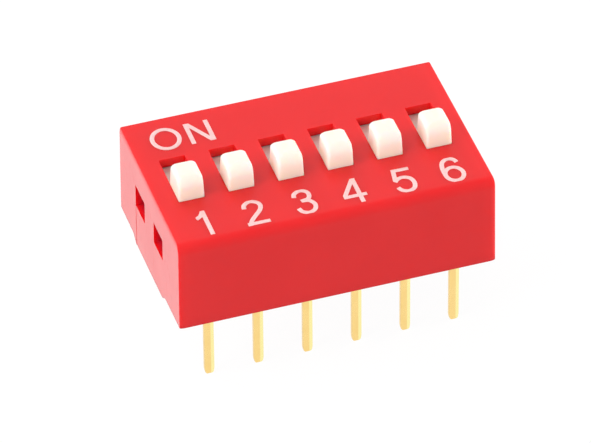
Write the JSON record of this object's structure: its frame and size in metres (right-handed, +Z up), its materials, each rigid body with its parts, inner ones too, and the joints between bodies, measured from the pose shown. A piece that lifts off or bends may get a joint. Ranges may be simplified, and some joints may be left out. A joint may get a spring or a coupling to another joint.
{
  "type": "slide dip switch",
  "caption": "Through-hole slide DIP switch with a red clipped-on cover, raised white sliders, bridging leaf contacts and gold-plated pins along both sides of a moulded base.",
  "frame": {"origin": "middle of the pin grid on the seating plane, which is the board's top face under the standoff feet", "axes": "+X along the row from position 1 to the last position, +Y towards the ON side, +Z up out of the board through the sliders"},
  "size_m": [0.0164, 0.01, 0.0105],
  "materials": {
    "cover_red": "satin moulded thermoplastic",
    "base_red": "satin moulded thermoplastic",
    "slider_white": "smooth moulded nylon, warm white",
    "contact_gold": "gold-plated copper alloy spring",
    "terminal_gold": "gold-plated brass, bright",
    "print_white": "white pad-printed ink"
  },
  "bodies": {
    "housing": {"cover": "cover_red", "base": "base_red", "terminal_front_1": "terminal_gold", "terminal_front_2": "terminal_gold", "terminal_front_3": "terminal_gold", "terminal_front_4": "terminal_gold", "terminal_front_5": "terminal_gold", "terminal_front_6": "terminal_gold", "terminal_back_1": "terminal_gold", "terminal_back_2": "terminal_gold", "terminal_back_3": "terminal_gold", "terminal_back_4": "terminal_gold", "terminal_back_5": "terminal_gold", "terminal_back_6": "terminal_gold"},
    "slider_1": {"actuator_1": "slider_white", "contact_1": "contact_gold"},
    "slider_2": {"actuator_2": "slider_white", "contact_2": "contact_gold"},
    "slider_3": {"actuator_3": "slider_white", "contact_3": "contact_gold"},
    "slider_4": {"actuator_4": "slider_white", "contact_4": "contact_gold"},
    "slider_5": {"actuator_5": "slider_white", "contact_5": "contact_gold"},
    "slider_6": {"actuator_6": "slider_white", "contact_6": "contact_gold"}
  },
  "joints": [
    {"name": "slide_1", "type": "slide", "parent": "housing", "child": "slider_1", "axis": [0, 1, 0], "range_m": [0, 0.0016]},
    {"name": "slide_2", "type": "slide", "parent": "housing", "child": "slider_2", "axis": [0, 1, 0], "range_m": [0, 0.0016]},
    {"name": "slide_3", "type": "slide", "parent": "housing", "child": "slider_3", "axis": [0, 1, 0], "range_m": [0, 0.0016]},
    {"name": "slide_4", "type": "slide", "parent": "housing", "child": "slider_4", "axis": [0, 1, 0], "range_m": [0, 0.0016]},
    {"name": "slide_5", "type": "slide", "parent": "housing", "child": "slider_5", "axis": [0, 1, 0], "range_m": [0, 0.0016]},
    {"name": "slide_6", "type": "slide", "parent": "housing", "child": "slider_6", "axis": [0, 1, 0], "range_m": [0, 0.0016]}
  ]
}
